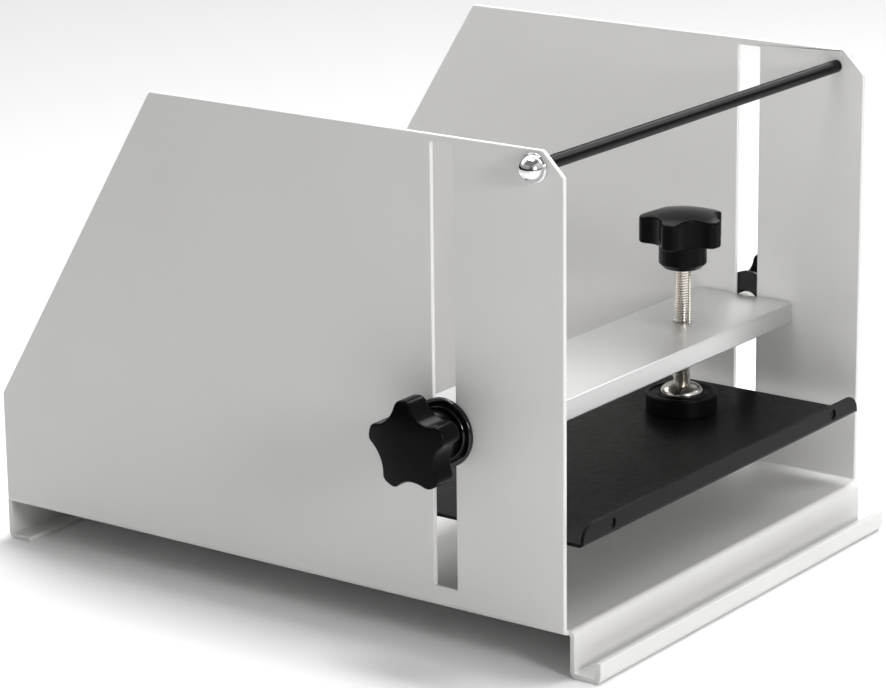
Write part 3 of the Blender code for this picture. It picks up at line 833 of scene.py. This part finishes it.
def press_plate(paint):
    """Flat plate with a folded front lip, its upper corners rounded, and two holes in the lip."""
    low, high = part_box("press_plate")
    half = PLATE_SHEET / 2
    plate = prism("plate", strip_outline(
        [(high.y, low.z + half), (low.y + half, low.z + half), (low.y + half, low.z + PLATE_LIP)],
        PLATE_SHEET, PLATE_BEND), low.x, high.x, "X")
    trim = 5.0 * MM
    face = rounded([(low.x, low.z - trim), (high.x, low.z - trim),
                    (high.x, low.z + PLATE_LIP, PLATE_LIP_ROUND),
                    (low.x, low.z + PLATE_LIP, PLATE_LIP_ROUND)], 14)
    plate = cut(plate, prism("face", face, 2 * low.y, 2 * abs(low.y), "Y"), "INTERSECT")
    for x in (low.x + PLATE_HOLE_INSET, high.x - PLATE_HOLE_INSET):
        hole = lathe("hole", [(0.0, trim), (PLATE_HOLE / 2, trim), (PLATE_HOLE / 2, -trim),
                              (0.0, -trim)], 48)
        hole.data.transform(Matrix.Translation((x, low.y + half, low.z + PLATE_HOLE_HEIGHT))
                            @ Matrix.Rotation(math.pi / 2, 4, "X"))
        plate = cut(plate, hole)
    soften(plate, PLATE_EDGE, 2, 50.0)
    return install(plate, paint, "plate_paint", "press_foot", "press_plate")


# Studio ------------------------------------------------------------------------------------------

def make_floor(paper):
    """Level square under the press."""
    body = bmesh.new()
    half = FLOOR_SIZE / 2
    corners = [body.verts.new((x, y, 0.0)) for x, y in ((-half, -half), (half, -half),
                                                        (half, half), (-half, half))]
    body.faces.new(corners)
    floor = mesh_object("floor", body)
    floor.data.materials.append(paper)


def area_light(name, place, size, power):
    """Rectangular light that faces LIGHT_AIM."""
    light = bpy.data.lights.new(name, "AREA")
    light.shape = "RECTANGLE"
    light.size, light.size_y = size
    light.energy = power
    obj = bpy.data.objects.new(name, light)
    bpy.context.scene.collection.objects.link(obj)
    obj.location = place
    obj.rotation_euler = (Vector(LIGHT_AIM) - Vector(place)).to_track_quat("-Z", "Y").to_euler()


def make_world():
    """Dark room with broad soft panels: overhead level plus one band part for each WORLD_PANELS row."""
    world = bpy.data.worlds.new("studio")
    world.use_nodes = True
    nodes, links = world.node_tree.nodes, world.node_tree.links
    direction = nodes.new("ShaderNodeTexCoord").outputs["Generated"]

    def fade(towards, start, end):
        facing = nodes.new("ShaderNodeVectorMath")
        facing.operation = "DOT_PRODUCT"
        facing.inputs[1].default_value = towards
        links.new(direction, facing.inputs[0])
        ramp = nodes.new("ShaderNodeMapRange")
        ramp.interpolation_type = "SMOOTHSTEP"
        ramp.inputs["From Min"].default_value = start
        ramp.inputs["From Max"].default_value = end
        links.new(facing.outputs["Value"], ramp.inputs["Value"])
        return ramp.outputs["Result"]

    def combine(operation, first, second):
        node = nodes.new("ShaderNodeMath")
        node.operation = operation
        for socket, value in zip(node.inputs, (first, second)):
            if isinstance(value, float):
                socket.default_value = value
            else:
                links.new(value, socket)
        return node.outputs["Value"]

    total = combine("MULTIPLY", fade((0.0, 0.0, 1.0), *WORLD_TOP_FADE), WORLD_TOP)
    for (x, y), (low, high), level in WORLD_PANELS:
        band = combine("SUBTRACT", fade((0.0, 0.0, 1.0), low, low + PANEL_FADE_BELOW),
                       fade((0.0, 0.0, 1.0), high, high + PANEL_FADE_ABOVE))
        part = combine("MULTIPLY", band, fade((x, y, 0.0), 0.0, PANEL_FADE_ASIDE))
        total = combine("ADD", total, combine("MULTIPLY", part, level))
    links.new(total, nodes["Background"].inputs["Strength"])
    nodes["Background"].inputs["Color"].default_value = (*WORLD_COLOUR, 1.0)
    bpy.context.scene.world = world


def make_camera():
    """Long lens aimed at CAMERA_AIM; azimuth from the front towards -X, all angles in degrees."""
    camera = bpy.data.cameras.new("camera")
    camera.lens = CAMERA_LENS
    camera.sensor_width = 36.0
    camera.clip_start = 0.05
    camera.clip_end = 200.0
    obj = bpy.data.objects.new("camera", camera)
    bpy.context.scene.collection.objects.link(obj)
    azimuth, elevation, roll = (math.radians(angle) for angle in
                                (CAMERA_AZIMUTH, CAMERA_ELEVATION, CAMERA_ROLL))
    ahead = Vector((math.sin(azimuth) * math.cos(elevation), math.cos(azimuth) * math.cos(elevation),
                    -math.sin(elevation)))
    right = Vector((math.cos(azimuth), -math.sin(azimuth), 0.0))
    up = right.cross(ahead)
    turned_right = math.cos(roll) * right + math.sin(roll) * up
    turned_up = turned_right.cross(ahead)
    axes = Matrix((turned_right, turned_up, -ahead)).transposed().to_4x4()
    obj.matrix_world = Matrix.Translation(Vector(CAMERA_AIM) - CAMERA_DISTANCE * ahead) @ axes
    bpy.context.scene.camera = obj


# Build -------------------------------------------------------------------------------------------

grey = grey_powder_coat()
aluminium = satin_aluminium()
knob_black = moulded_black("knob_plastic", 0.16, 0.22, 0.06)
washer_black = moulded_black("washer_plastic", 0.08, 0.14, 0.5)
cup_black = moulded_black("cup_plastic", 0.34, 0.44, 0.15)
chrome = turned_metal("chrome", (0.82, 0.82, 0.83), 0.05, 0.1)
steel = turned_metal("bright_steel", (0.72, 0.69, 0.65), 0.16, 0.24)

folded_body(grey)
tie_rod(black_satin_paint("rod_black", 0.004, 0.2, 0.28))
clamp_bar(aluminium)
press_plate(black_satin_paint("plate_black", 0.006, 0.28, 0.38))
nylon = natural_nylon()
brass = turned_metal("brass", (0.78, 0.60, 0.30), 0.25, 0.35)
for word, side in SIDES:
    rod_screw(word, side, chrome)
    guide_bush(word, side, nylon)
    clamp_washer(word, side, washer_black)
    clamp_stud(word, side, steel)
    clamp_knob(word, side, CLAMP_TURNS[word], knob_black)
    press_screw(word, steel)
    foot_cup(word, cup_black)
    knob_insert(word, brass)
    press_knob(word, PRESS_TURNS[word], knob_black)

make_floor(floor_white())
make_world()
for name, place, size, power in LIGHTS:
    area_light(name, place, size, power)
make_camera()
bpy.context.scene.view_settings.view_transform = "Standard"
